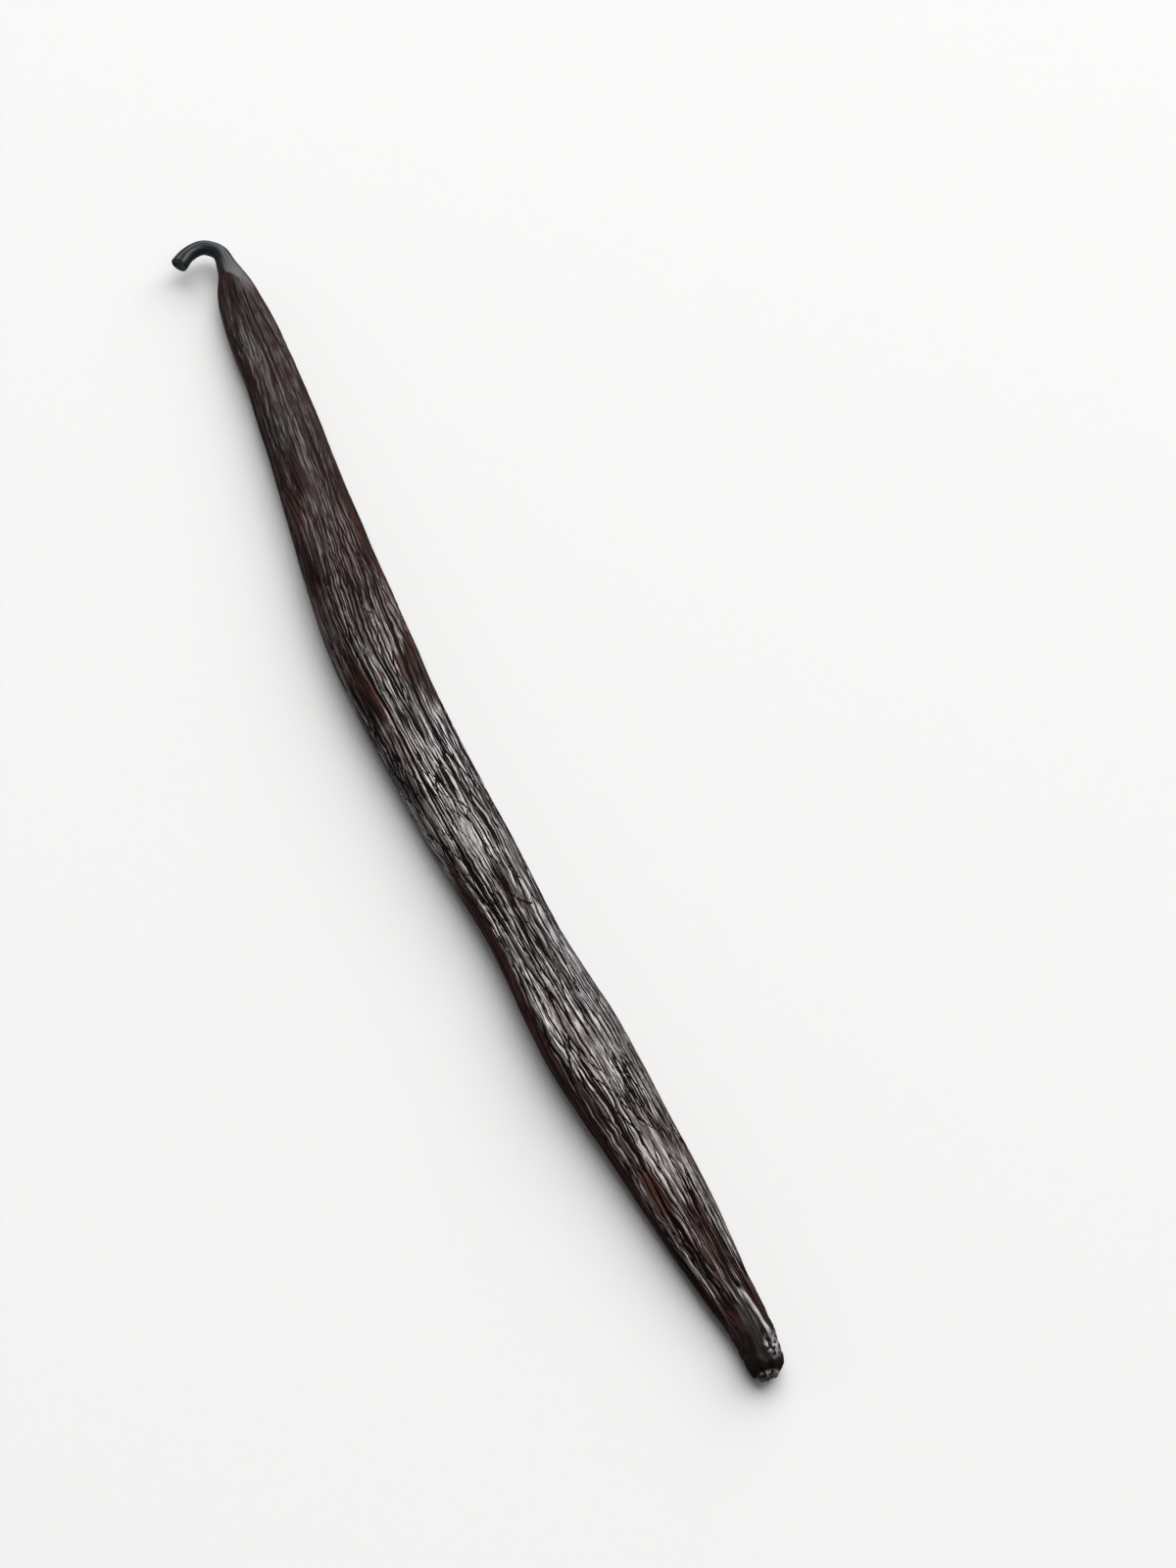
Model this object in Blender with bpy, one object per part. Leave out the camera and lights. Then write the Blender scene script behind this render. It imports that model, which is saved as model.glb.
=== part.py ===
"""A cured vanilla pod lying on a table, as one solid.

The pod runs along X: its hooked stem is at -X and its blunt flower end at +X. The origin is under the
middle of the pod, on the table. Lengths in the tables below are millimetres.
"""
import math

import bmesh
import bpy
import numpy as np

MM = 0.001

# The pod's middle line seen from above, from the cut face of the stem, round the hook, to the flower end.
MIDDLE_LINE = (
    (-81.4, 0.0),
    (-82.8, 1.9),
    (-83.2, 3.9),
    (-82.0, 5.4),
    (-79.2, 5.6),
    (-73.0, 4.9),
    (-58.0, 3.5),
    (-40.0, 1.2),
    (-21.0, -1.1),
    (-2.0, -1.8),
    (17.0, -1.4),
    (36.0, -1.1),
    (56.0, 0.0),
    (70.0, 0.6),
    (77.5, 0.8),
    (81.2, 0.2),
)

# Distance along the middle line, full width, full thickness, and clearance under the belly.
STATIONS = (
    (0.0, 2.20, 2.10, 2.2),
    (1.8, 1.95, 1.90, 2.1),
    (6.5, 1.95, 1.90, 1.6),
    (9.0, 2.60, 2.30, 1.2),
    (13.0, 4.80, 3.30, 0.5),
    (18.0, 6.00, 4.00, 0.1),
    (30.0, 6.70, 4.60, 0.0),
    (47.0, 7.90, 5.20, 0.0),
    (68.0, 9.60, 5.90, 0.0),
    (88.0, 8.90, 5.80, 0.0),
    (101.0, 8.60, 5.70, 0.0),
    (112.0, 7.80, 5.40, 0.0),
    (127.0, 9.00, 5.80, 0.0),
    (142.0, 7.80, 5.20, 0.0),
    (154.0, 6.40, 4.50, 0.0),
    (161.0, 5.10, 3.90, 0.1),
    (166.0, 4.30, 3.60, 0.2),
    (171.5, 3.90, 3.40, 0.2),
)

# A pod is a capsule of three valves: its section has three soft corners, which turn along the pod.
CORNERS = 3
CORNER_HEIGHT = 0.07
CORNER_TURN_DEG = ((0.0, 150.0), (60.0, 126.0), (95.0, 118.0), (125.0, 146.0), (172.0, 160.0))
# The section is a little squarer than an ellipse, which has a power of 2.
SECTION_POWER = 2.2
# How much of its half thickness the belly has sunk flat against the table.
BELLY_SINK = 0.13

# Broad lengthwise folds of the shrunken skin: folds round the section, height as a share of the
# radius, start angle, turn along the whole pod, and swellings along the pod.
FOLDS = (
    (5, 0.028, 0.4, 1.3, 4.3),
    (8, 0.022, 2.1, -1.9, 6.7),
    (11, 0.015, 1.2, 2.6, 9.4),
)
# A fold's height along the pod: its mean and its swing, as shares of the most it can be.
SWELLING_MEAN = 0.65
SWELLING_SWING = 0.35
# The stem is smooth, so corners and folds fade in along the neck, and they fade out at the tip.
FOLDS_START = (10.0, 24.0)
FOLDS_END = (163.0, 169.5)

# The two ends: distance in from the end, and share of the section there. The stem ends in a cut face
# with a rounded rim. The flower end goes in over a round shoulder, out along the short collar that the
# flower left, and over its rim. Both faces are hollow in the middle.
STEM_PROFILE = (
    (0.05, 0.50),
    (0.00, 0.84),
    (0.09, 0.97),
    (0.30, 1.00),
)
STEM_HOLLOW = 0.25
TIP_PROFILE = (
    (2.30, 1.00),
    (1.60, 0.97),
    (1.05, 0.88),
    (0.72, 0.74),
    (0.55, 0.60),
    (0.35, 0.55),
    (0.08, 0.53),
    (0.00, 0.44),
    (0.12, 0.28),
)
TIP_HOLLOW = 0.45

# Mesh: points on the middle line and round each ring, and the far end and step of each stretch of rings.
LINE_POINTS = 4000
POINTS_AROUND = 32
RING_STRETCHES = (
    (15.0, 0.62),
    (157.0, 1.55),
    (math.inf, 0.80),
)
# The middle line's heading is taken between points this far to each side.
HEADING_STEP = 0.05

SKIN_COLOUR = (0.030, 0.014, 0.010, 1.0)
SKIN_ROUGHNESS = 0.38


def smooth_through(knots, values, at):
    """Cubic curve through values at knots, with slopes taken from the neighbouring points."""
    knots = np.asarray(knots, float)
    values = np.asarray(values, float)
    slopes = np.gradient(values, knots, axis=0)
    at = np.clip(np.asarray(at, float), knots[0], knots[-1])
    left = np.clip(np.searchsorted(knots, at, side="right") - 1, 0, len(knots) - 2)
    span = knots[left + 1] - knots[left]
    t = (at - knots[left]) / span
    if values.ndim > 1:
        t = t[:, None]
        span = span[:, None]
    start = values[left] * (2 * t**3 - 3 * t**2 + 1) + slopes[left] * span * (t**3 - 2 * t**2 + t)
    end = values[left + 1] * (3 * t**2 - 2 * t**3) + slopes[left + 1] * span * (t**3 - t**2)
    return start + end


def ease(value, low, high):
    """0 below low, 1 above high, smooth between."""
    t = np.clip((value - low) / (high - low), 0.0, 1.0)
    return t * t * (3 - 2 * t)


def signed_power(value, power):
    return np.sign(value) * np.abs(value) ** power


def middle_line():
    """Distance from the stem's face, and point seen from above, at close steps along the pod."""
    corners = np.asarray(MIDDLE_LINE)
    knots = np.r_[0.0, np.cumsum(np.hypot(*np.diff(corners, axis=0).T))]
    points = smooth_through(knots, corners, np.linspace(0.0, knots[-1], LINE_POINTS))
    along = np.r_[0.0, np.cumsum(np.hypot(*np.diff(points, axis=0).T))]
    return along, points


def ring_plan(length):
    """Distance along the middle line and share of the section for every ring, stem to tip."""
    plan = list(STEM_PROFILE)
    low = STEM_PROFILE[-1][0]
    tip_start = length - TIP_PROFILE[0][0]
    for stretch_end, step in RING_STRETCHES:
        high = min(stretch_end, tip_start)
        count = round((high - low) / step)
        plan += [(along, 1.0) for along in np.linspace(low, high, count + 1)[1:]]
        low = high
    plan += [(length - inward, share) for inward, share in TIP_PROFILE[1:]]
    return np.asarray(plan).T


def section(along, angle, length):
    """Sideways and upward reach of the skin from the middle line; one row per place along the pod."""
    knots, width, thickness, _ = np.asarray(STATIONS).T
    half_width = smooth_through(knots, width / 2, along)[:, None]
    half_thickness = smooth_through(knots, thickness / 2, along)[:, None]
    turn_knots, turn_deg = np.asarray(CORNER_TURN_DEG).T
    turn = np.radians(smooth_through(turn_knots, turn_deg, along))[:, None]
    place = (along / length)[:, None]
    fade = (ease(along, *FOLDS_START) * (1 - ease(along, *FOLDS_END)))[:, None]
    reach = CORNER_HEIGHT * np.cos(CORNERS * (angle - turn))
    for count, height, start, drift, swells in FOLDS:
        swelling = SWELLING_MEAN + SWELLING_SWING * np.sin(math.tau * swells * place + start)
        reach = reach + height * swelling * np.cos(count * angle + start + math.tau * drift * place)
    reach = 1 + fade * reach
    power = 2 / SECTION_POWER
    side = half_width * reach * signed_power(np.cos(angle), power)
    up = half_thickness * reach * signed_power(np.sin(angle), power)
    return side, up


def pod_surface():
    """Rings of points over the whole skin, and the middle point of each end face."""
    line_along, line_points = middle_line()
    length = line_along[-1]
    station_knots, _, thickness, clearance = np.asarray(STATIONS).T
    station_heights = clearance + (1 - BELLY_SINK) * thickness / 2

    def middle(at):
        return np.stack([np.interp(at, line_along, line_points[:, axis]) for axis in (0, 1)], axis=-1)

    def middle_height(at):
        return smooth_through(station_knots, station_heights, at)

    along, share = ring_plan(length)
    angle = np.arange(POINTS_AROUND)[None, :] * math.tau / POINTS_AROUND
    side, up = section(along, angle, length)
    ahead = np.minimum(along + HEADING_STEP, length)
    behind = np.maximum(along - HEADING_STEP, 0)
    heading = middle(ahead) - middle(behind)
    heading /= np.hypot(*heading.T)[:, None]
    sideways = np.stack([-heading[:, 1], heading[:, 0]], axis=-1)

    rings = np.empty(side.shape + (3,))
    rings[:, :, :2] = middle(along)[:, None, :] + sideways[:, None, :] * (side * share[:, None])[:, :, None]
    rings[:, :, 2] = np.maximum(middle_height(along)[:, None] + up * share[:, None], 0.0)
    hollows = np.array([STEM_HOLLOW, length - TIP_HOLLOW])
    hollow_points = np.column_stack([middle(hollows), middle_height(hollows)])
    return rings, hollow_points


def build_pod():
    rings, hollow_points = pod_surface()
    low = rings.min(axis=(0, 1))
    high = rings.max(axis=(0, 1))
    origin = np.array([(low[0] + high[0]) / 2, (low[1] + high[1]) / 2, 0.0])

    mesh = bmesh.new()
    grid = [[mesh.verts.new((point - origin) * MM) for point in ring] for ring in rings]
    stem_middle, tip_middle = [mesh.verts.new((point - origin) * MM) for point in hollow_points]
    for i in range(POINTS_AROUND):
        j = (i + 1) % POINTS_AROUND
        for ring, next_ring in zip(grid[:-1], grid[1:]):
            mesh.faces.new((ring[i], ring[j], next_ring[j], next_ring[i]))
        mesh.faces.new((stem_middle, grid[0][j], grid[0][i]))
        mesh.faces.new((tip_middle, grid[-1][i], grid[-1][j]))
    bmesh.ops.recalc_face_normals(mesh, faces=mesh.faces)

    data = bpy.data.meshes.new("pod")
    mesh.to_mesh(data)
    mesh.free()
    data.shade_smooth()
    data.materials.append(skin_material())
    pod = bpy.data.objects.new("pod", data)
    bpy.context.collection.objects.link(pod)


def skin_material():
    """Oily, near-black brown skin."""
    material = bpy.data.materials.new("skin")
    material.use_nodes = True
    shader = material.node_tree.nodes["Principled BSDF"]
    shader.inputs["Base Color"].default_value = SKIN_COLOUR
    shader.inputs["Roughness"].default_value = SKIN_ROUGHNESS
    shader.inputs["Metallic"].default_value = 0.0
    return material


for old in list(bpy.data.objects):
    bpy.data.objects.remove(old)
build_pod()
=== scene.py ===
"""The looks of a cured vanilla pod: one finely wrinkled, oily skin that stands for the CAD model's plain one.

The skin is a fine grid of points laid over the pod's form. Its wrinkles are real relief: broad folds and
networks of creases, worked out at each point from the distance along the pod and the distance round it.
Lengths are millimetres until a mesh is made, unless a name ends in _M, which is metres.
"""
import math

import bpy
import numpy as np
from mathutils import Matrix, Vector


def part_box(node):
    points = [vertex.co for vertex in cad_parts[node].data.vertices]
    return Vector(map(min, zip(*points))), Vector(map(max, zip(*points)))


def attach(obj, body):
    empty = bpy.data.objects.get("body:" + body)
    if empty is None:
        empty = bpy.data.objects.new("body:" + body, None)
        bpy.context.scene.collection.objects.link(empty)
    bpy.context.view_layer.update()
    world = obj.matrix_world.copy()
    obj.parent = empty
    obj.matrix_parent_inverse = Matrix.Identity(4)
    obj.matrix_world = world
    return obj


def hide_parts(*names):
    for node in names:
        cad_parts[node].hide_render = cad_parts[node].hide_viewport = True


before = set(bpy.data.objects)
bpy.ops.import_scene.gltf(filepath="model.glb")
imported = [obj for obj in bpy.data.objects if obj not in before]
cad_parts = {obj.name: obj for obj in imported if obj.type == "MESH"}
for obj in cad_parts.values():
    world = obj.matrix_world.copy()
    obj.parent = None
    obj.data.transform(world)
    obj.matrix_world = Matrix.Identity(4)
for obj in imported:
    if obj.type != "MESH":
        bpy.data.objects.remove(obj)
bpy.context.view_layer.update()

MM = 0.001

# ---------------------------------------------------------------------------------------------
# The pod's form, as the CAD model has it: see part.py for what each table holds.
MIDDLE_LINE = (
    (-81.4, 0.0),
    (-82.8, 1.9),
    (-83.2, 3.9),
    (-82.0, 5.4),
    (-79.2, 5.6),
    (-73.0, 4.9),
    (-58.0, 3.5),
    (-40.0, 1.2),
    (-21.0, -1.1),
    (-2.0, -1.8),
    (17.0, -1.4),
    (36.0, -1.1),
    (56.0, 0.0),
    (70.0, 0.6),
    (77.5, 0.8),
    (81.2, 0.2),
)
# Distance along the middle line, full width, full thickness, and clearance under the belly.
STATIONS = (
    (0.0, 2.20, 2.10, 2.2),
    (1.8, 1.95, 1.90, 2.1),
    (6.5, 1.95, 1.90, 1.6),
    (9.0, 2.60, 2.30, 1.2),
    (13.0, 4.80, 3.30, 0.5),
    (18.0, 6.00, 4.00, 0.1),
    (30.0, 6.70, 4.60, 0.0),
    (47.0, 7.90, 5.20, 0.0),
    (68.0, 9.60, 5.90, 0.0),
    (88.0, 8.90, 5.80, 0.0),
    (101.0, 8.60, 5.70, 0.0),
    (112.0, 7.80, 5.40, 0.0),
    (127.0, 9.00, 5.80, 0.0),
    (142.0, 7.80, 5.20, 0.0),
    (154.0, 6.40, 4.50, 0.0),
    (161.0, 5.10, 3.90, 0.1),
    (166.0, 4.30, 3.60, 0.2),
    (171.5, 3.90, 3.40, 0.2),
)
CORNER_HEIGHT = 0.07
CORNER_TURN_DEG = ((0.0, 150.0), (60.0, 126.0), (95.0, 118.0), (125.0, 146.0), (172.0, 160.0))
SECTION_POWER = 2.2
BELLY_SINK = 0.13
FOLDS = (
    (5, 0.028, 0.4, 1.3, 4.3),
    (8, 0.022, 2.1, -1.9, 6.7),
    (11, 0.015, 1.2, 2.6, 9.4),
)
FOLDS_START = (10.0, 24.0)
FOLDS_END = (163.0, 169.5)
# The two ends, from the side of the pod to its end face: distance in from the end, share of the section.
STEM_PROFILE = (
    (0.30, 1.00),
    (0.09, 0.97),
    (0.00, 0.84),
    (0.05, 0.50),
)
STEM_HOLLOW = 0.25
TIP_PROFILE = (
    (2.30, 1.00),
    (1.60, 0.97),
    (1.05, 0.88),
    (0.72, 0.74),
    (0.55, 0.60),
    (0.35, 0.55),
    (0.08, 0.53),
    (0.00, 0.44),
    (0.12, 0.28),
)
TIP_HOLLOW = 0.45
HEADING_STEP = 0.05

# ---------------------------------------------------------------------------------------------
# The fine skin: points round each ring, rings on each end profile, and the step between the others.
POINTS_AROUND = 232
STEM_END_RINGS = 9
TIP_END_RINGS = 22
RING_STEP = 0.43
# Share of the section at the last ring before an end face closes in a point.
LAST_SHARE = 0.06
# Half the section's width at the two ends, which sets how close their rings lie.
END_RADIUS = 2.0
# Wrinkles are laid out on a straight pod of this girth, so they draw together where the pod is slim.
GIRTH = 24.0

# Networks of creases, coarse to fine: cell length and width, crease depth and half width, how far a cell
# tips to one side (rise per mm), and the wave lengths along and round the pod of its strong places.
FOLD_NET = (30.0, 2.40, 0.13, 0.42, 0.03, 26.0, 6.0)
MAIN_NET = (12.0, 0.85, 0.06, 0.22, 0.04, 14.0, 3.0)
FINE_NET = (9.0, 0.42, 0.020, 0.15, 0.03, 9.0, 2.2)
FINEST_NET = (4.5, 0.22, 0.008, 0.09, 0.0, 6.0, 1.6)
# Slanting cracks in the places where the skin has cracked like leather, and how far they lean (mm per mm).
CRACK_NET = (5.0, 1.30, 0.05, 0.17, 0.02, 9.0, 3.0)
CRACK_LEAN = 0.38
# One long ridge on the pod's shoulder: its place round the pod, half width and height, and where along the
# pod it rises and sinks. The flank below it is bare.
RIDGE_PLACE = 15.4
RIDGE_HALF_WIDTH = 0.34
RIDGE_HEIGHT = 0.14
RIDGE_START = (98.0, 108.0)
RIDGE_END = (159.0, 165.0)
# The smooth stem ends in a slanting edge on the neck: where it is on top, and its slant (mm per mm).
NECK_EDGE = 11.5
NECK_SLANT = 0.70
# The creases sink away over the last part of the pod, where the skin is crumpled instead.
CAP_START = (161.0, 166.5)
# One smooth fold on the upper side near the tip: its place round the pod where it starts, how far it leans,
# half width and height, and where along the pod it rises and sinks. It ends in a crinkled spot.
TIP_FOLD_PLACE = 10.9
TIP_FOLD_LEAN = -0.26
TIP_FOLD_HALF_WIDTH = 1.05
TIP_FOLD_HEIGHT = 0.14
TIP_FOLD_START = (159.5, 162.0)
TIP_FOLD_END = (166.2, 167.2)
CRINKLED_SPOT = (167.4, 9.5)
CRINKLED_REACH = (0.9, 1.8)
# Where along the pod the torn rim of the flower's scar begins; its pale spots are a painted highlight on that real rim.
PAINTED_SCAR_GLINT_START = (169.6, 169.9)
# Waves that bend the networks sideways: reach, wave length round the pod and along it.
BENDS = (
    (0.40, 12.0, 38.0),
    (0.05, 3.0, 9.0),
    (0.015, 1.1, 3.2),
    (0.030, 2.6, 2.0),
)
# One more wave, which comes in towards the tip, where the skin is more crumpled.
TIP_BEND = (0.060, 1.6, 3.4)
TIP_BEND_START = (128.0, 150.0)
# The skin's map: margin round each strip, and length of the tip of each end's fan in mm.
MAP_MARGIN = 0.01
MAP_FAN = 0.3


def smooth_through(knots, values, at):
    """Cubic curve through values at knots, with slopes taken from the neighbouring points."""
    knots = np.asarray(knots, float)
    values = np.asarray(values, float)
    slopes = np.gradient(values, knots, axis=0)
    at = np.clip(np.asarray(at, float), knots[0], knots[-1])
    left = np.clip(np.searchsorted(knots, at, side="right") - 1, 0, len(knots) - 2)
    span = knots[left + 1] - knots[left]
    t = (at - knots[left]) / span
    if values.ndim > 1:
        t = t[:, None]
        span = span[:, None]
    start = values[left] * (2 * t**3 - 3 * t**2 + 1) + slopes[left] * span * (t**3 - 2 * t**2 + t)
    end = values[left + 1] * (3 * t**2 - 2 * t**3) + slopes[left + 1] * span * (t**3 - t**2)
    return start + end


def ease(value, low, high):
    """0 below low, 1 above high, smooth between."""
    t = np.clip((value - low) / (high - low), 0.0, 1.0)
    return t * t * (3 - 2 * t)


def signed_power(value, power):
    return np.sign(value) * np.abs(value) ** power


# ---------------------------------------------------------------------------------------------
# The plain form.
def middle_line():
    """Distance from the stem's face, and point seen from above, at close steps along the pod."""
    corners = np.asarray(MIDDLE_LINE)
    knots = np.r_[0.0, np.cumsum(np.hypot(*np.diff(corners, axis=0).T))]
    points = smooth_through(knots, corners, np.linspace(0.0, knots[-1], 4000))
    along = np.r_[0.0, np.cumsum(np.hypot(*np.diff(points, axis=0).T))]
    return along, points


def section(along, angle, length):
    """Sideways and upward reach of the skin from the middle line; one row per place along the pod."""
    knots, width, thickness, _ = np.asarray(STATIONS).T
    half_width = smooth_through(knots, width / 2, along)[:, None]
    half_thickness = smooth_through(knots, thickness / 2, along)[:, None]
    turn_knots, turn_deg = np.asarray(CORNER_TURN_DEG).T
    turn = np.radians(smooth_through(turn_knots, turn_deg, along))[:, None]
    place = (along / length)[:, None]
    fade = (ease(along, *FOLDS_START) * (1 - ease(along, *FOLDS_END)))[:, None]
    reach = CORNER_HEIGHT * np.cos(3 * (angle - turn))
    for count, height, start, drift, swells in FOLDS:
        swelling = 0.65 + 0.35 * np.sin(math.tau * swells * place + start)
        reach = reach + height * swelling * np.cos(count * angle + start + math.tau * drift * place)
    reach = 1 + fade * reach
    power = 2 / SECTION_POWER
    side = half_width * reach * signed_power(np.cos(angle), power)
    up = half_thickness * reach * signed_power(np.sin(angle), power)
    return side, up


def end_rings(profile, hollow, count):
    """Distance in from the end and share of the section for rings from the pod's side to its end face."""
    points = np.array(list(profile) + [(hollow, 0.0)])
    steps = np.diff(points * (1.0, END_RADIUS), axis=0)
    knots = np.r_[0.0, np.cumsum(np.hypot(*steps.T))]
    rings = smooth_through(knots, points, np.linspace(0.0, knots[-1], count + 1)[:-1])
    rings[:, 1] = np.clip(rings[:, 1], LAST_SHARE, 1.0)
    return rings


def ring_plan(length):
    """Distance along the middle line and share of the section for every ring, stem to tip."""
    stem = end_rings(STEM_PROFILE, STEM_HOLLOW, STEM_END_RINGS)[::-1]
    tip = end_rings(TIP_PROFILE, TIP_HOLLOW, TIP_END_RINGS)
    tip[:, 0] = length - tip[:, 0]
    low = stem[-1, 0]
    high = tip[0, 0]
    places = np.linspace(low, high, round((high - low) / RING_STEP) + 1)[1:-1]
    body = np.column_stack([places, np.ones_like(places)])
    return np.concatenate([stem, body, tip]).T


def plain_surface():
    """Points of the plain form in rings, the middle of each end face, and where each point is.

    The places are the distance along the pod, one for each ring, and the share of the way round."""
    line_along, line_points = middle_line()
    length = line_along[-1]
    station_knots, _, thickness, clearance = np.asarray(STATIONS).T
    station_heights = clearance + (1 - BELLY_SINK) * thickness / 2

    def middle(at):
        return np.stack([np.interp(at, line_along, line_points[:, axis]) for axis in (0, 1)], axis=-1)

    def middle_height(at):
        return smooth_through(station_knots, station_heights, at)

    along, share = ring_plan(length)
    angle = np.arange(POINTS_AROUND)[None, :] * math.tau / POINTS_AROUND - math.tau / 4
    side, up = section(along, angle, length)
    steps = np.hypot(np.roll(side, -1, axis=1) - side, np.roll(up, -1, axis=1) - up)
    round_share = (np.cumsum(steps, axis=1) - steps) / steps.sum(axis=1, keepdims=True)

    ahead = np.minimum(along + HEADING_STEP, length)
    behind = np.maximum(along - HEADING_STEP, 0)
    heading = middle(ahead) - middle(behind)
    heading /= np.hypot(*heading.T)[:, None]
    sideways = np.stack([-heading[:, 1], heading[:, 0]], axis=-1)
    rings = np.empty(side.shape + (3,))
    rings[:, :, :2] = middle(along)[:, None, :] + sideways[:, None, :] * (side * share[:, None])[:, :, None]
    rings[:, :, 2] = middle_height(along)[:, None] + up * share[:, None]
    hollows = np.array([STEM_HOLLOW, length - TIP_HOLLOW])
    hollow_points = np.column_stack([middle(hollows), middle_height(hollows)])
    return rings, hollow_points, along, share, round_share


# ---------------------------------------------------------------------------------------------
# Node trees: the same networks of creases shape the skin and finish it.
class Nodes:
    """Short ways to add and join the nodes of one tree."""

    def __init__(self, tree):
        self.tree = tree

    def add(self, kind, settings=None, **inputs):
        node = self.tree.nodes.new(kind)
        for key, value in (settings or {}).items():
            setattr(node, key, value)
        for key, value in inputs.items():
            self.set(node, key.replace("_", " "), value)
        return node

    def set(self, node, key, value):
        socket = node.inputs[key]
        if isinstance(value, bpy.types.NodeSocket):
            self.tree.links.new(value, socket)
        else:
            socket.default_value = value

    def maths(self, operation, *values):
        node = self.add("ShaderNodeMath", {"operation": operation})
        for key, value in enumerate(values):
            self.set(node, key, value)
        return node.outputs[0]

    def vector(self, operation, *values):
        """Vector sum, and so on. A length or a dot product comes out as a number."""
        node = self.add("ShaderNodeVectorMath", {"operation": operation})
        for key, value in enumerate(values):
            self.set(node, key, value)
        return node.outputs["Value" if operation in ("LENGTH", "DOT_PRODUCT") else "Vector"]

    def spread(self, value, low, high, to_low=0.0, to_high=1.0):
        """Map low..high smoothly to to_low..to_high."""
        node = self.add("ShaderNodeMapRange", {"interpolation_type": "SMOOTHSTEP"})
        for key, number in enumerate((value, low, high, to_low, to_high)):
            self.set(node, key, number)
        return node.outputs[0]

    def noise(self, place, along, across, detail=3.0, roughness=0.55):
        """Noise of about these wave lengths, in mm, along the pod and across it."""
        scaled = self.vector("MULTIPLY", place, (1 / along, 1 / across, 1 / across))
        node = self.add("ShaderNodeTexNoise", Vector=scaled, Scale=1.0, Detail=detail, Roughness=roughness)
        return node.outputs["Fac"]

    def seeds(self, feature, scaled):
        """Place, and random colour, of the nearest or second nearest seed of a cell."""
        settings = {"feature": feature, "voronoi_dimensions": "2D"}
        node = self.add("ShaderNodeTexVoronoi", settings, Vector=scaled, Scale=1.0, Randomness=0.95)
        return node.outputs["Position"], node.outputs["Color"]

    def network(self, flat, place, net):
        """Creases that join and part round long cells, over the skin laid flat.

        Returns how deep in a crease a point is, 0 to 1, and its height in mm. Creases that would run
        across the pod fade out."""
        length, width, depth, crease_width, tip_over, strong_along, strong_across = net
        cell_size = (length, width, 1.0)
        scaled = self.vector("DIVIDE", flat, cell_size)
        nearest, colour = self.seeds("F1", scaled)
        second, _ = self.seeds("F2", scaled)
        between = self.vector("SUBTRACT", second, nearest)
        middle = self.vector("MULTIPLY", self.vector("ADD", second, nearest), (0.5, 0.5, 0.5))
        to_border = self.vector("DOT_PRODUCT", self.vector("SUBTRACT", middle, scaled), between)
        slope = self.vector("DIVIDE", between, cell_size)
        distance = self.maths("DIVIDE", to_border, self.vector("LENGTH", slope))
        turn = self.vector("DOT_PRODUCT", self.vector("NORMALIZE", slope), (0.0, 1.0, 0.0))
        strength = self.spread(self.noise(place, strong_along, strong_across), 0.32, 0.62, 0.30, 1.25)
        strength = self.maths("MULTIPLY", strength, self.maths("POWER", self.maths("ABSOLUTE", turn), 4.0))
        crease = self.maths("MULTIPLY", self.spread(distance, 0.0, crease_width, 1.0, 0.0), strength)

        inside = self.vector("MULTIPLY", self.vector("SUBTRACT", scaled, nearest), cell_size)
        sideways = self.vector("DOT_PRODUCT", inside, (0.0, 1.0, 0.0))
        tip = self.maths("SUBTRACT", self.vector("DOT_PRODUCT", colour, (2.0, 0.0, 0.0)), 1.0)
        plateau = self.spread(distance, 0.0, 1.5 * crease_width)
        tipped = self.maths("MULTIPLY", self.maths("MULTIPLY", tip, tip_over), sideways)
        height = self.maths("MULTIPLY", tipped, plateau)
        height = self.maths("MULTIPLY_ADD", crease, -depth, height)
        return crease, height

    def shoulder(self, flat, along):
        """The long ridge: how near its top a point is, 0 to 1, and how bare the flank is."""
        offset = self.maths("SUBTRACT", self.vector("DOT_PRODUCT", flat, (0.0, 1.0, 0.0)), RIDGE_PLACE)
        reach = self.maths("MULTIPLY", self.spread(along, *RIDGE_START), self.spread(along, *RIDGE_END, 1.0, 0.0))
        ridge = self.spread(self.maths("ABSOLUTE", offset), 0.0, RIDGE_HALF_WIDTH, 1.0, 0.0)
        flank = self.maths("MULTIPLY", self.spread(offset, 0.2, 0.8), self.spread(offset, 4.5, 6.0, 1.0, 0.0))
        return self.maths("MULTIPLY", ridge, reach), self.maths("MULTIPLY", flank, reach)

    def tip_fold(self, flat, along):
        """How near the top of the fold at the tip a point is, and how near the middle of its crinkled spot."""
        around = self.vector("DOT_PRODUCT", flat, (0.0, 1.0, 0.0))
        line = self.maths("MULTIPLY_ADD", along, TIP_FOLD_LEAN, TIP_FOLD_PLACE - TIP_FOLD_LEAN * TIP_FOLD_START[1])
        offset = self.maths("ABSOLUTE", self.maths("SUBTRACT", around, line))
        reach = self.maths("MULTIPLY", self.spread(along, *TIP_FOLD_START), self.spread(along, *TIP_FOLD_END, 1.0, 0.0))
        fold = self.maths("MULTIPLY", self.spread(offset, 0.0, TIP_FOLD_HALF_WIDTH, 1.0, 0.0), reach)
        spot_along, spot_around = CRINKLED_SPOT
        across = self.maths("MULTIPLY", self.maths("SUBTRACT", around, spot_around), 0.6)
        lengthwise = self.maths("SUBTRACT", along, spot_along)
        away = self.vector("LENGTH", self.add("ShaderNodeCombineXYZ", X=lengthwise, Y=across).outputs[0])
        return fold, self.spread(away, *CRINKLED_REACH, 1.0, 0.0)

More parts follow.
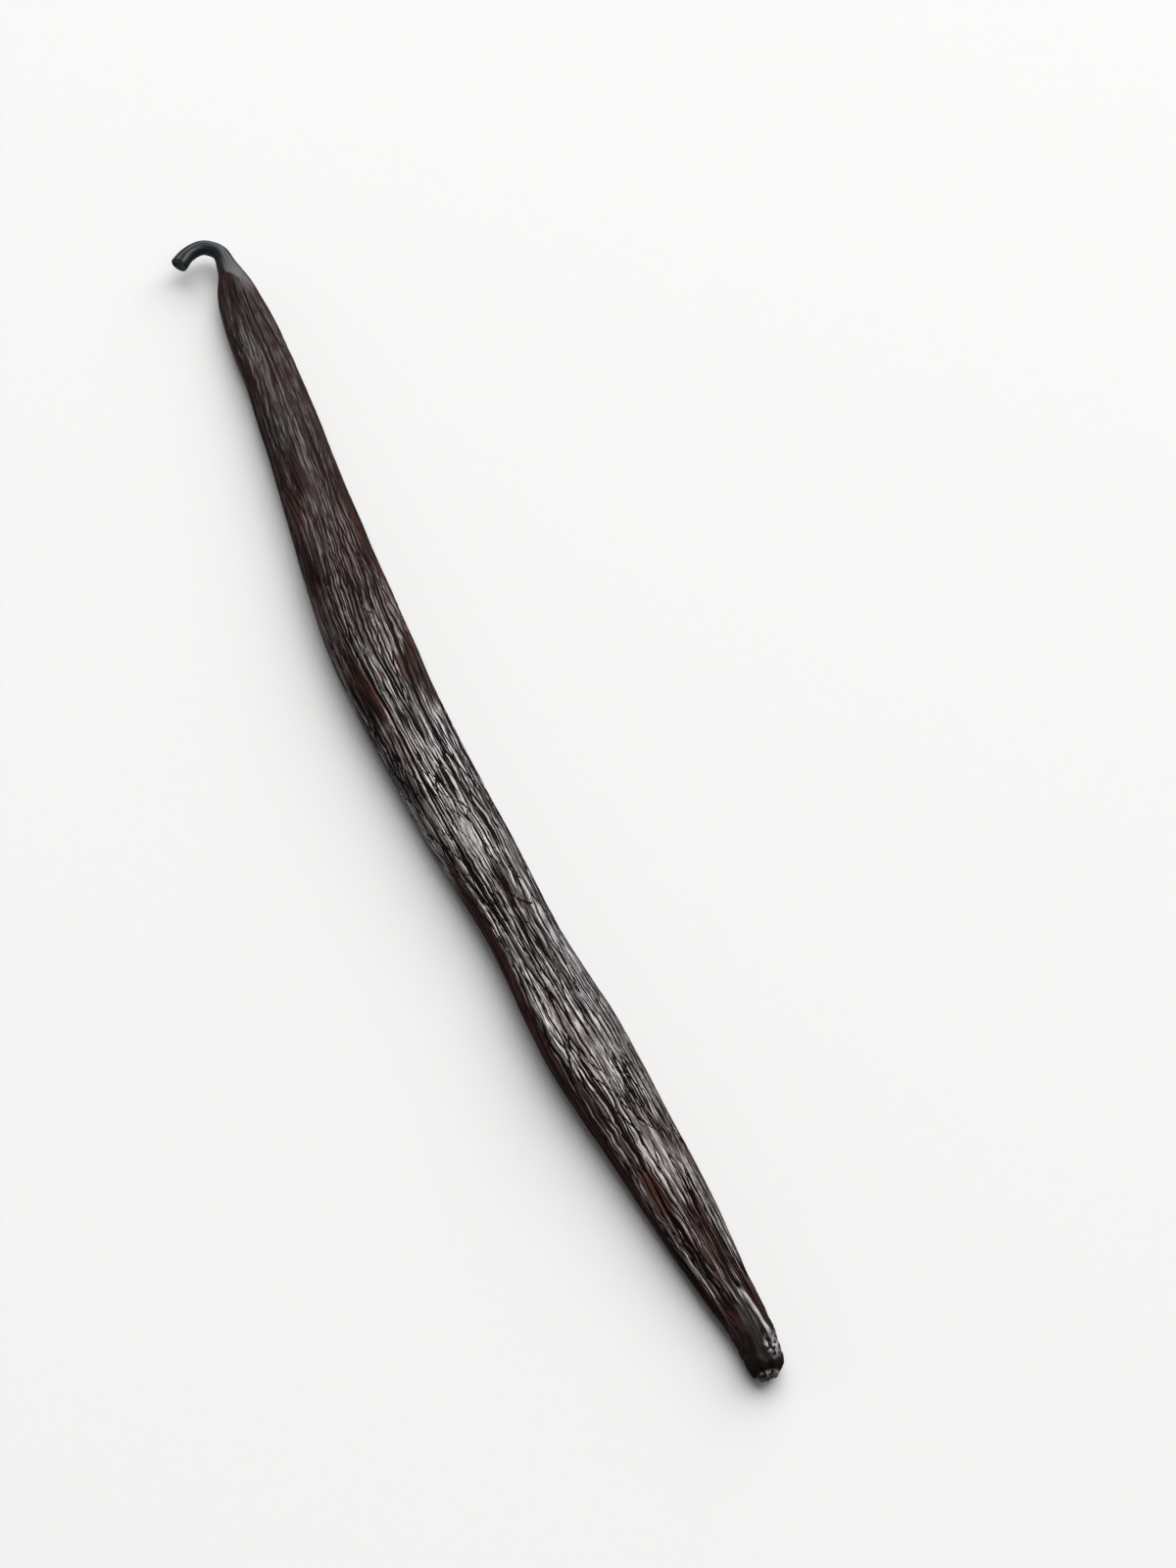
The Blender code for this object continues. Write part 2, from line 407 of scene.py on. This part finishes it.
    def cracks(self, flat, place, along):
        """Leathery cracks, as a network gives them."""
        lean = self.vector("DOT_PRODUCT", flat, (CRACK_LEAN, 1.0, 0.0))
        leaning = self.add("ShaderNodeCombineXYZ", X=self.vector("DOT_PRODUCT", flat, (1.0, 0.0, 0.0)), Y=lean)
        crease, height = self.network(leaning.outputs[0], place, CRACK_NET)
        cracked = self.spread(self.noise(place, 16.0, 4.5, 1.0), 0.50, 0.60)
        cracked = self.maths("MULTIPLY", cracked, self.spread(along, 78.0, 92.0))
        return self.maths("MULTIPLY", crease, cracked), self.maths("MULTIPLY", height, cracked)

    def past_neck(self, place, along):
        """Distance past the edge where the smooth stem ends."""
        edge = self.maths("ADD", self.vector("DOT_PRODUCT", place, (0.0, 0.0, NECK_SLANT)), NECK_EDGE)
        return self.maths("SUBTRACT", along, edge)

    def crumples(self, place, along):
        """Small bumps of the crumpled cap, in mm."""
        bumps = self.maths("SUBTRACT", self.noise(place, 1.3, 1.8, 3.0), 0.5)
        return self.maths("MULTIPLY", bumps, self.spread(along, *CAP_START, 0.0, 1.05))

    def blend(self, share, first, second):
        """Mix of two colours; each is a linear red, green, blue or a socket."""
        node = self.add("ShaderNodeMix", {"data_type": "RGBA"})
        self.set(node, "Factor", share)
        for key, colour in ((6, first), (7, second)):
            if isinstance(colour, tuple):
                colour = colour + (1.0,)
            self.set(node, key, colour)
        return node.outputs[2]


# ---------------------------------------------------------------------------------------------
# The skin.
def waves(place, across, along, seed, count=40):
    """Smooth random field over the skin, with a spread of 1: waves of about these two lengths."""
    rng = np.random.default_rng(seed)
    direction = rng.normal(size=(count, 3))
    direction /= np.linalg.norm(direction, axis=1, keepdims=True)
    rate = direction * rng.uniform(0.6, 1.5, (count, 1)) * math.tau / np.array([along, across, across])
    start = rng.uniform(0, math.tau, count)
    field = np.zeros(place.shape[:-1])
    for one_rate, one_start in zip(rate, start):
        field += np.sin(place @ one_rate + one_start)
    return field * math.sqrt(2 / count)


def lay_out(along, round_share):
    """Where each point is on a straight round pod, and on the skin laid flat with its bent creases."""
    along = np.broadcast_to(along[:, None], round_share.shape)
    turn = math.tau * round_share
    radius = GIRTH / math.tau
    place = np.stack([along, radius * np.cos(turn), radius * np.sin(turn)], axis=-1)
    bent_along = along + 0.9 * waves(place, 8.0, 20.0, 101)
    around = GIRTH * round_share
    for number, (reach, across, lengthwise) in enumerate(BENDS):
        around = around + reach * waves(place, across, lengthwise, 200 + number)
    reach, across, lengthwise = TIP_BEND
    around = around + reach * ease(along, *TIP_BEND_START) * waves(place, across, lengthwise, 210)
    return place, np.stack([bent_along, around, np.zeros_like(around)], axis=-1)


def add_field(mesh, name, values, domain="POINT"):
    """Store a vector at every point or face corner of a mesh."""
    attribute = mesh.attributes.new(name, "FLOAT_VECTOR", domain)
    attribute.data.foreach_set("vector", np.ravel(values).astype(np.float32))


def map_strip(path, around, row):
    """Places on the map of one strip of rings, which lies along the map in the given one of two rows."""
    size = 1 - 2 * MAP_MARGIN
    across = (row + MAP_MARGIN + around * size) / 2
    lengthwise = MAP_MARGIN + (path - path[0]) / (path[-1] - path[0]) * size
    return np.stack([np.broadcast_to(lengthwise[:, None], across.shape), across], axis=-1)


def map_corners(along, share, round_share):
    """The skin unrolled in two strips, stem half and tip half: a place on the map for every face corner."""
    steps = np.hypot(np.diff(along), np.diff(share) * END_RADIUS)
    path = np.cumsum(np.r_[0.0, MAP_FAN, steps, MAP_FAN])
    around = np.concatenate([round_share, np.ones((len(round_share), 1))], axis=1)
    around = np.concatenate([around[:1], around, around[-1:]])
    cut = len(path) // 2
    stem_half = map_strip(path[:cut + 1], around[:cut + 1], 0)
    tip_half = map_strip(path[cut:], around[cut:], 1)
    stem_apex = (stem_half[0, :-1] + stem_half[0, 1:]) / 2
    tip_apex = (tip_half[-1, :-1] + tip_half[-1, 1:]) / 2
    corners = []
    for grid in (stem_half[1:], tip_half[:-1]):
        quads = np.stack([grid[:-1, :-1], grid[:-1, 1:], grid[1:, 1:], grid[1:, :-1]], axis=2)
        corners.append(quads.reshape(-1, 2))
    corners.append(np.stack([stem_apex, stem_half[1, 1:], stem_half[1, :-1]], axis=1).reshape(-1, 2))
    corners.append(np.stack([tip_apex, tip_half[-2, :-1], tip_half[-2, 1:]], axis=1).reshape(-1, 2))
    return np.concatenate(corners)


def make_skin():
    """The plain form as a fine mesh, with its layout, then the relief."""
    rings, hollow_points, along, share, round_share = plain_surface()
    place, flat = lay_out(along, round_share)
    ring_count = len(rings)
    low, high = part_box("pod")
    shift = (rings.min(axis=(0, 1)) + rings.max(axis=(0, 1))) / 2
    points = np.concatenate([rings.reshape(-1, 3), hollow_points])
    points[:, :2] += np.array((low + high) / 2)[:2] / MM - shift[:2]

    number = np.arange(ring_count * POINTS_AROUND).reshape(ring_count, POINTS_AROUND)
    near = number[:-1]
    far = number[1:]
    quads = np.stack([near, np.roll(near, -1, axis=1), np.roll(far, -1, axis=1), far], axis=-1).reshape(-1, 4)
    stem_middle = ring_count * POINTS_AROUND
    tip_middle = stem_middle + 1
    first = number[0]
    last = number[-1]
    stem_fan = np.stack([np.full_like(first, stem_middle), np.roll(first, -1), first], axis=-1)
    tip_fan = np.stack([np.full_like(last, tip_middle), last, np.roll(last, -1)], axis=-1)
    mesh = bpy.data.meshes.new("pod_skin")
    mesh.from_pydata((points * MM).tolist(), [], quads.tolist() + stem_fan.tolist() + tip_fan.tolist())
    mesh.shade_smooth()

    ends = np.array([[along[0], 0.0, 0.0], [along[-1], 0.0, 0.0]])
    add_field(mesh, "place", np.concatenate([place.reshape(-1, 3), ends]))
    add_field(mesh, "bent", np.concatenate([flat.reshape(-1, 3), ends]))
    closed = np.concatenate([flat, flat[:, :1] + (0.0, GIRTH, 0.0)], axis=1)
    quad_corners = np.stack([closed[:-1, :-1], closed[:-1, 1:], closed[1:, 1:], closed[1:, :-1]], axis=2)
    stem_corners = np.stack([closed[0, :-1], closed[0, 1:], closed[0, :-1]], axis=1)
    tip_corners = np.stack([closed[-1, :-1], closed[-1, :-1], closed[-1, 1:]], axis=1)
    corners = [block.reshape(-1, 3) for block in (quad_corners, stem_corners, tip_corners)]
    add_field(mesh, "flat", np.concatenate(corners), "CORNER")
    bake_map = mesh.uv_layers.new(name="OFBake")
    bake_map.data.foreach_set("uv", map_corners(along, share, round_share).ravel().astype(np.float32))

    skin = bpy.data.objects.new("pod_skin", mesh)
    bpy.context.collection.objects.link(skin)
    shape_skin(skin)
    return skin


def shape_skin(skin):
    """Press the creases into the skin, which stays above the table, and keep the result as its mesh."""
    tree = bpy.data.node_groups.new("wrinkle_relief", "GeometryNodeTree")
    tree.interface.new_socket("Geometry", in_out="INPUT", socket_type="NodeSocketGeometry")
    tree.interface.new_socket("Geometry", in_out="OUTPUT", socket_type="NodeSocketGeometry")
    nodes = Nodes(tree)

    def named(name):
        node = nodes.add("GeometryNodeInputNamedAttribute", {"data_type": "FLOAT_VECTOR"}, Name=name)
        return node.outputs["Attribute"]

    place = named("place")
    flat = named("bent")
    _, height = nodes.network(flat, place, FOLD_NET)
    height = nodes.maths("ADD", height, nodes.network(flat, place, MAIN_NET)[1])
    broad = nodes.maths("SUBTRACT", nodes.noise(place, 40.0, 6.0, 2.0), 0.5)
    height = nodes.maths("MULTIPLY_ADD", broad, 0.5, height)
    lumps = nodes.maths("SUBTRACT", nodes.noise(place, 9.0, 2.2, 2.0), 0.5)
    height = nodes.maths("MULTIPLY_ADD", lumps, 0.22, height)
    along = nodes.vector("DOT_PRODUCT", place, (1.0, 0.0, 0.0))
    height = nodes.maths("ADD", height, nodes.cracks(flat, place, along)[1])
    ridge, _ = nodes.shoulder(flat, along)
    height = nodes.maths("MULTIPLY_ADD", ridge, RIDGE_HEIGHT, height)
    height = nodes.maths("MULTIPLY", height, nodes.spread(nodes.past_neck(place, along), 0.0, 4.0))
    height = nodes.maths("MULTIPLY", height, nodes.spread(along, *CAP_START, 1.0, 0.15))
    height = nodes.maths("ADD", height, nodes.crumples(place, along))
    tip_fold, _ = nodes.tip_fold(flat, along)
    height = nodes.maths("MULTIPLY_ADD", tip_fold, TIP_FOLD_HEIGHT, height)
    height = nodes.maths("MULTIPLY", height, MM)

    start = nodes.add("NodeGroupInput").outputs[0]
    normal = nodes.add("GeometryNodeInputNormal").outputs["Normal"]
    position = nodes.add("GeometryNodeInputPosition").outputs[0]
    scaled = nodes.add("ShaderNodeVectorMath", {"operation": "SCALE"}, Vector=normal, Scale=height).outputs[0]
    moved = nodes.vector("MAXIMUM", nodes.vector("ADD", position, scaled), (-1.0, -1.0, 0.0))
    shaped = nodes.add("GeometryNodeSetPosition", Geometry=start, Position=moved).outputs[0]
    tree.links.new(shaped, nodes.add("NodeGroupOutput").inputs[0])

    modifier = skin.modifiers.new("relief", "NODES")
    modifier.node_group = tree
    shaped_skin = skin.evaluated_get(bpy.context.evaluated_depsgraph_get())
    mesh = bpy.data.meshes.new_from_object(shaped_skin)
    skin.modifiers.clear()
    skin.data = mesh


# ---------------------------------------------------------------------------------------------
# Materials.
def new_material(name):
    material = bpy.data.materials.new(name)
    material.use_nodes = True
    return material, Nodes(material.node_tree), material.node_tree.nodes["Principled BSDF"]


def skin_material():
    material, nodes, shader = new_material("skin_oily_wrinkled")

    def named(name):
        return nodes.add("ShaderNodeAttribute", {"attribute_name": name}).outputs["Vector"]

    place = named("place")
    flat = named("flat")
    along = nodes.vector("DOT_PRODUCT", place, (1.0, 0.0, 0.0))

    fold, _ = nodes.network(flat, place, FOLD_NET)
    main, _ = nodes.network(flat, place, MAIN_NET)
    fine, fine_height = nodes.network(flat, place, FINE_NET)
    finest, finest_height = nodes.network(flat, place, FINEST_NET)
    favoured = nodes.maths("MULTIPLY", nodes.spread(along, 78.0, 88.0, 0.0, 0.07), nodes.spread(along, 100.0, 150.0, 1.0, -0.2))
    around = nodes.vector("DOT_PRODUCT", flat, (0.0, 1.0, 0.0))
    low_patch = nodes.maths("MULTIPLY", nodes.spread(around, 13.0, 14.5, 0.0, 0.13), nodes.spread(along, 80.0, 86.0))
    low_patch = nodes.maths("MULTIPLY", low_patch, nodes.spread(along, 96.0, 102.0, 1.0, 0.0))
    favoured = nodes.maths("ADD", favoured, low_patch)
    favoured = nodes.maths("ADD", favoured, nodes.spread(along, 154.0, 160.0, 0.0, -0.05))
    patches = nodes.spread(nodes.maths("ADD", nodes.noise(place, 14.0, 2.6, 3.0), favoured), 0.36, 0.52)
    dry = nodes.spread(patches, 0.0, 1.0, 1.0, 0.0)
    wide = nodes.maths("MULTIPLY_ADD", dry, 0.25, 0.85)
    crack, _ = nodes.cracks(flat, place, along)
    # Painted shade: this crease mask paints the creases near black below, and it also takes the oil's gloss out of
    # them.
    line = nodes.maths("MULTIPLY", wide, nodes.maths("MAXIMUM", main, nodes.maths("MAXIMUM", fine, crack)))
    ragged = nodes.maths("SUBTRACT", nodes.noise(place, 1.3, 0.45, 2.0), 0.5)
    line = nodes.maths("MULTIPLY_ADD", ragged, 0.45, line)
    line = nodes.maths("MAXIMUM", nodes.spread(fold, 0.62, 0.85), nodes.spread(line, 0.30, 0.52))
    line = nodes.maths("MAXIMUM", line, nodes.spread(finest, 0.50, 0.80, 0.0, 0.5))
    past_neck = nodes.past_neck(place, along)
    ridge, flank = nodes.shoulder(flat, along)
    line = nodes.maths("MULTIPLY", line, nodes.spread(past_neck, 0.0, 3.0))
    line = nodes.maths("MULTIPLY", line, nodes.spread(along, *CAP_START, 1.0, 0.1))
    line = nodes.maths("MULTIPLY", line, nodes.spread(along, 25.0, 75.0, 0.6, 1.0))
    line = nodes.maths("MULTIPLY", line, nodes.spread(flank, 0.0, 1.0, 1.0, 0.8))

    mottle = nodes.noise(place, 22.0, 4.5, 3.0)
    streaks = nodes.noise(place, 8.0, 0.8, 4.0, 0.6)
    colour = nodes.blend(nodes.spread(mottle, 0.36, 0.66), (0.010, 0.0046, 0.0040), (0.030, 0.0110, 0.0082))
    red = nodes.spread(nodes.maths("MULTIPLY_ADD", dry, 0.10, streaks), 0.52, 0.72)
    colour = nodes.blend(red, colour, (0.042, 0.0130, 0.0085))
    colour = nodes.blend(nodes.spread(along, 35.0, 75.0, 0.50, 0.0), colour, (0.008, 0.0040, 0.0036))
    colour = nodes.blend(nodes.maths("MULTIPLY", flank, 0.7), colour, (0.019, 0.0074, 0.0056))
    # Painted shade: the creases are painted near black.
    colour = nodes.blend(line, colour, (0.0030, 0.0014, 0.0012))
    colour = nodes.blend(nodes.spread(along, 160.0, 167.0, 0.0, 0.9), colour, (0.005, 0.0030, 0.0028))
    uneven = nodes.maths("SUBTRACT", nodes.noise(place, 1.6, 1.3, 2.0), 0.5)
    stem = nodes.spread(nodes.maths("MULTIPLY_ADD", uneven, 3.0, past_neck), -0.6, 0.7, 1.0, 0.0)
    colour = nodes.blend(stem, colour, (0.007, 0.0095, 0.0115))
    # Painted highlight: pale spots on the torn rim of the flower's scar.
    scar_rim_painted_glint = nodes.maths("MULTIPLY", nodes.spread(along, *PAINTED_SCAR_GLINT_START), nodes.spread(nodes.noise(place, 0.6, 1.2), 0.40, 0.55))
    colour = nodes.blend(scar_rim_painted_glint, colour, (0.13, 0.12, 0.11))
    nodes.set(shader, "Base Color", colour)

    streaky = nodes.spread(nodes.noise(place, 9.0, 0.55, 3.0), 0.34, 0.56, 0.30, 1.0)
    oil = nodes.maths("MULTIPLY", nodes.spread(patches, 0.0, 1.0, 0.10, 1.0), streaky)
    solid = nodes.maths("MULTIPLY", nodes.spread(along, 82.0, 90.0, 0.0, 0.08), nodes.spread(along, 99.0, 106.0, 1.0, 0.1))
    dashes = nodes.maths("ADD", nodes.noise(place, 1.9, 0.36, 2.0), solid)
    oil = nodes.maths("MULTIPLY", oil, nodes.spread(dashes, 0.38, 0.58, 0.40, 1.10))
    oil = nodes.maths("MULTIPLY", oil, nodes.spread(line, 0.0, 1.0, 1.0, 0.0))
    oil = nodes.maths("MULTIPLY", oil, nodes.spread(along, 58.0, 90.0, 0.22, 1.0))
    oil = nodes.maths("MULTIPLY", oil, nodes.spread(flank, 0.0, 1.0, 1.0, 0.05))
    oil = nodes.maths("MULTIPLY", oil, nodes.spread(along, 158.0, 166.5, 1.0, 0.04))
    tip_fold, crinkled = nodes.tip_fold(flat, along)
    oil = nodes.maths("MAXIMUM", oil, nodes.spread(tip_fold, 0.25, 0.65))
    glints = nodes.spread(nodes.noise(place, 0.50, 0.75, 2.0), 0.46, 0.56)
    oil = nodes.maths("MAXIMUM", oil, nodes.maths("MULTIPLY", crinkled, glints))
    glint = nodes.maths("MULTIPLY", nodes.spread(ridge, 0.3, 0.8), nodes.spread(nodes.noise(place, 7.0, 3.0), 0.46, 0.64, 0.05, 0.9))
    oil = nodes.maths("MAXIMUM", oil, glint)
    on_neck = nodes.maths("MULTIPLY", stem, nodes.spread(along, 7.0, 11.0, 0.0, 0.30))
    on_neck = nodes.maths("MULTIPLY", on_neck, nodes.spread(nodes.maths("MAXIMUM", fine, finest), 0.3, 0.8, 1.0, 0.6))
    oil = nodes.maths("MAXIMUM", oil, on_neck)
    nodes.set(shader, "Roughness", 0.60)
    nodes.set(shader, "Specular IOR Level", 0.02)
    nodes.set(shader, "Coat Weight", oil)
    nodes.set(shader, "Coat Roughness", 0.42)
    nodes.set(shader, "Coat IOR", 2.20)

    grain = nodes.noise(place, 2.4, 0.35, 2.0, 0.5)
    height = nodes.maths("ADD", fine_height, finest_height)
    height = nodes.maths("MULTIPLY_ADD", grain, 0.009, height)
    height = nodes.maths("MULTIPLY_ADD", nodes.noise(place, 0.8, 0.30, 2.0), 0.008, height)
    height = nodes.maths("MULTIPLY_ADD", nodes.maths("MULTIPLY", crinkled, glints), 0.05, height)
    height = nodes.maths("MULTIPLY", height, nodes.spread(past_neck, 0.0, 3.0))
    bump = nodes.add("ShaderNodeBump", Strength=1.0, Distance=MM, Height=height)
    nodes.set(shader, "Normal", bump.outputs[0])
    nodes.set(shader, "Coat Normal", bump.outputs[0])
    return material


def floor_material():
    material, nodes, shader = new_material("floor")
    nodes.set(shader, "Base Color", (0.47, 0.47, 0.47, 1.0))
    nodes.set(shader, "Roughness", 0.8)
    nodes.set(shader, "Specular IOR Level", 0.2)
    return material


# ---------------------------------------------------------------------------------------------
# Stage, light and camera, in metres.
FLOOR_SIZE_M = 6.0
FLOOR_DROP_M = 0.00002
LENS_MM = 80.0
FILM_MM = 36.0
CAMERA_TARGET_M = (0.00883, 0.013657, 0.0)
CAMERA_DISTANCE_M = 0.39718
CAMERA_AZIMUTH_DEG = 64.75
CAMERA_ELEVATION_DEG = 58.0


def towards(azimuth_deg, elevation_deg):
    """Direction from the pod to a viewer who looks along +Y at azimuth 0 and along -X at 90."""
    azimuth = math.radians(azimuth_deg)
    elevation = math.radians(elevation_deg)
    return Vector((
        math.sin(azimuth) * math.cos(elevation),
        -math.cos(azimuth) * math.cos(elevation),
        math.sin(elevation),
    ))


def aim(thing, location, target):
    """Point a light or camera at target, with its own Y axis as near upward as it can be."""
    thing.location = location
    thing.rotation_euler = (Vector(target) - Vector(location)).to_track_quat("-Z", "Y").to_euler()


def camera_location():
    return Vector(CAMERA_TARGET_M) + towards(CAMERA_AZIMUTH_DEG, CAMERA_ELEVATION_DEG) * CAMERA_DISTANCE_M


def mirror_direction(place, tip_deg):
    """Where skin at place, facing up but tipped this much towards +Y, mirrors to the camera from."""
    tip = math.radians(tip_deg)
    facing = Vector((0.0, math.sin(tip), math.cos(tip)))
    view = (camera_location() - place).normalized()
    return 2 * view.dot(facing) * facing - view


def add_camera():
    data = bpy.data.cameras.new("camera")
    data.lens = LENS_MM
    data.sensor_width = FILM_MM
    data.clip_start = 0.01
    camera = bpy.data.objects.new("camera", data)
    bpy.context.collection.objects.link(camera)
    location = camera_location()
    aim(camera, location, Vector(CAMERA_TARGET_M))
    bpy.context.scene.camera = camera


def add_panel(name, location, target, size, power, colour):
    data = bpy.data.lights.new(name, "AREA")
    data.shape = "RECTANGLE"
    data.size = size[0]
    data.size_y = size[1]
    data.energy = power
    data.color = colour
    panel = bpy.data.objects.new(name, data)
    bpy.context.collection.objects.link(panel)
    away = (Vector(location) - Vector(target)).normalized()
    wide = Vector((1.0, 0.0, 0.0)).cross(away).normalized()
    panel.matrix_world = Matrix.Translation(location) @ Matrix((wide, away.cross(wide), away)).transposed().to_4x4()
    return panel


def add_world():
    """A dim sky that is pale near the horizon, so low views have a pale background as well."""
    world = bpy.data.worlds.new("world")
    world.use_nodes = True
    nodes = Nodes(world.node_tree)
    background = world.node_tree.nodes["Background"]
    direction = nodes.add("ShaderNodeTexCoord").outputs["Generated"]
    rise = nodes.vector("DOT_PRODUCT", direction, (0.0, 0.0, 1.0))
    nodes.set(background, "Color", (0.92, 0.96, 1.0, 1.0))
    nodes.set(background, "Strength", nodes.spread(rise, 0.10, 0.40, 0.70, 0.12))
    bpy.context.scene.world = world


def add_stage():
    half = FLOOR_SIZE_M / 2
    corners = [(x, y, -FLOOR_DROP_M) for x, y in ((-half, -half), (half, -half), (half, half), (-half, half))]
    mesh = bpy.data.meshes.new("floor")
    mesh.from_pydata(corners, [], [(0, 1, 2, 3)])
    mesh.materials.append(floor_material())
    floor = bpy.data.objects.new("floor", mesh)
    bpy.context.collection.objects.link(floor)

    add_world()
    place = Vector((0.020, 0.0, 0.004))
    direction = mirror_direction(place, 10.0)
    add_panel("window_panel", place + direction * 3.6, place, (5.7, 5.1), 492.0, (1.0, 0.99, 0.98))
    add_panel("front_panel", (3.2, 1.8, 4.0), (0.0, 0.0, 0.0), (2.4, 2.4), 40.0, (1.0, 1.0, 1.0))
    add_panel("side_panel", (-1.7, -3.1, 0.9), (0.0, 0.0, 0.0), (3.0, 1.5), 24.0, (1.0, 0.99, 0.98))


bpy.context.scene.view_settings.view_transform = "Standard"
skin = make_skin()
skin.data.materials.append(skin_material())
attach(skin, "root")
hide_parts("pod")
add_stage()
add_camera()
